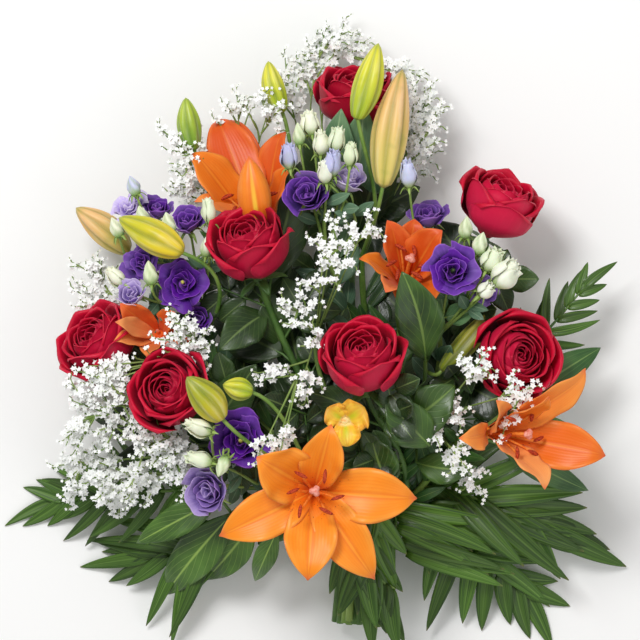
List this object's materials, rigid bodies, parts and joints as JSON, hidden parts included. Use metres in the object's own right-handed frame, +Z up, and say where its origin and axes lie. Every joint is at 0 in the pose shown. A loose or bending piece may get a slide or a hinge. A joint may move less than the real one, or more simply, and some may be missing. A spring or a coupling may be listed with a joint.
{
  "type": "mixed flower bouquet",
  "caption": "Hand-tied bouquet lying on its back: red roses, orange lilies, purple lisianthus, white statice, palm fronds and broad leaves round tied stems.",
  "frame": {"origin": "middle of the bunch, on the surface that it lies on", "axes": "+Y from the cut stems towards the top of the bunch, +Z up out of the flowers, +X to their right"},
  "size_m": [0.536, 0.5408, 0.208],
  "materials": {
    "rose_petal": "velvety crimson petals with lighter rims",
    "lily_petal": "satin orange petals with a yellow midrib",
    "lisianthus_dark": "soft violet petals, lilac outside",
    "lisianthus_pale": "soft pale lilac petals",
    "yellow_petal": "satin yellow lobes with green veins",
    "rose_green": "matt green stems, sepals and leaves",
    "lily_green": "satin green to yellow stems and buds",
    "spray_green": "pale grey-green stems and creamy buds",
    "statice": "papery white florets on thin green stems",
    "palm_leaf": "satin green leaflets with fine parallel veins",
    "broad_leaf": "glossy dark green veined leaves",
    "tie": "twisted raffia"
  },
  "bodies": {
    "root": {"rose_bloom_1": "rose_petal", "rose_bloom_2": "rose_petal", "rose_bloom_3": "rose_petal", "rose_bloom_4": "rose_petal", "rose_bloom_5": "rose_petal", "rose_bloom_6": "rose_petal", "rose_bloom_7": "rose_petal", "lily_bloom_1": "lily_petal", "lily_bloom_2": "lily_petal", "lily_bloom_3": "lily_petal", "lily_bloom_4": "lily_petal", "lily_bloom_5": "lily_petal", "lisianthus_bloom_1": "lisianthus_dark", "lisianthus_bloom_2": "lisianthus_pale", "lisianthus_bloom_3": "lisianthus_dark", "lisianthus_bloom_4": "lisianthus_pale", "lisianthus_bloom_5": "lisianthus_dark", "lisianthus_bloom_6": "lisianthus_dark", "lisianthus_bloom_7": "lisianthus_dark", "lisianthus_bloom_8": "lisianthus_pale", "lisianthus_bloom_9": "lisianthus_dark", "lisianthus_bloom_10": "lisianthus_dark", "lisianthus_bloom_11": "lisianthus_dark", "lisianthus_bloom_12": "lisianthus_pale", "lisianthus_bloom_13": "lisianthus_dark", "lisianthus_bloom_14": "lisianthus_dark", "yellow_flower": "yellow_petal", "rose_stem_1": "rose_green", "rose_stem_2": "rose_green", "rose_stem_3": "rose_green", "rose_stem_4": "rose_green", "rose_stem_5": "rose_green", "rose_stem_6": "rose_green", "rose_stem_7": "rose_green", "lily_stem_1": "lily_green", "lily_stem_2": "lily_green", "lily_stem_3": "lily_green", "lily_stem_4": "lily_green", "lily_stem_5": "lily_green", "lily_stem_6": "lily_green", "yellow_flower_stem": "rose_green", "palm_frond_1": "palm_leaf", "palm_frond_2": "palm_leaf", "palm_frond_3": "palm_leaf", "palm_frond_4": "palm_leaf", "palm_frond_5": "palm_leaf", "palm_frond_6": "palm_leaf", "broad_leaf_branch_1": "broad_leaf", "broad_leaf_branch_2": "broad_leaf", "lisianthus_spray_1": "spray_green", "lisianthus_spray_2": "spray_green", "lisianthus_spray_3": "spray_green", "lisianthus_spray_4": "spray_green", "statice_spray_1": "statice", "statice_spray_2": "statice", "statice_spray_3": "statice", "statice_spray_4": "statice", "statice_spray_5": "statice", "statice_spray_6": "statice", "tie": "tie"}
  },
  "joints": []
}
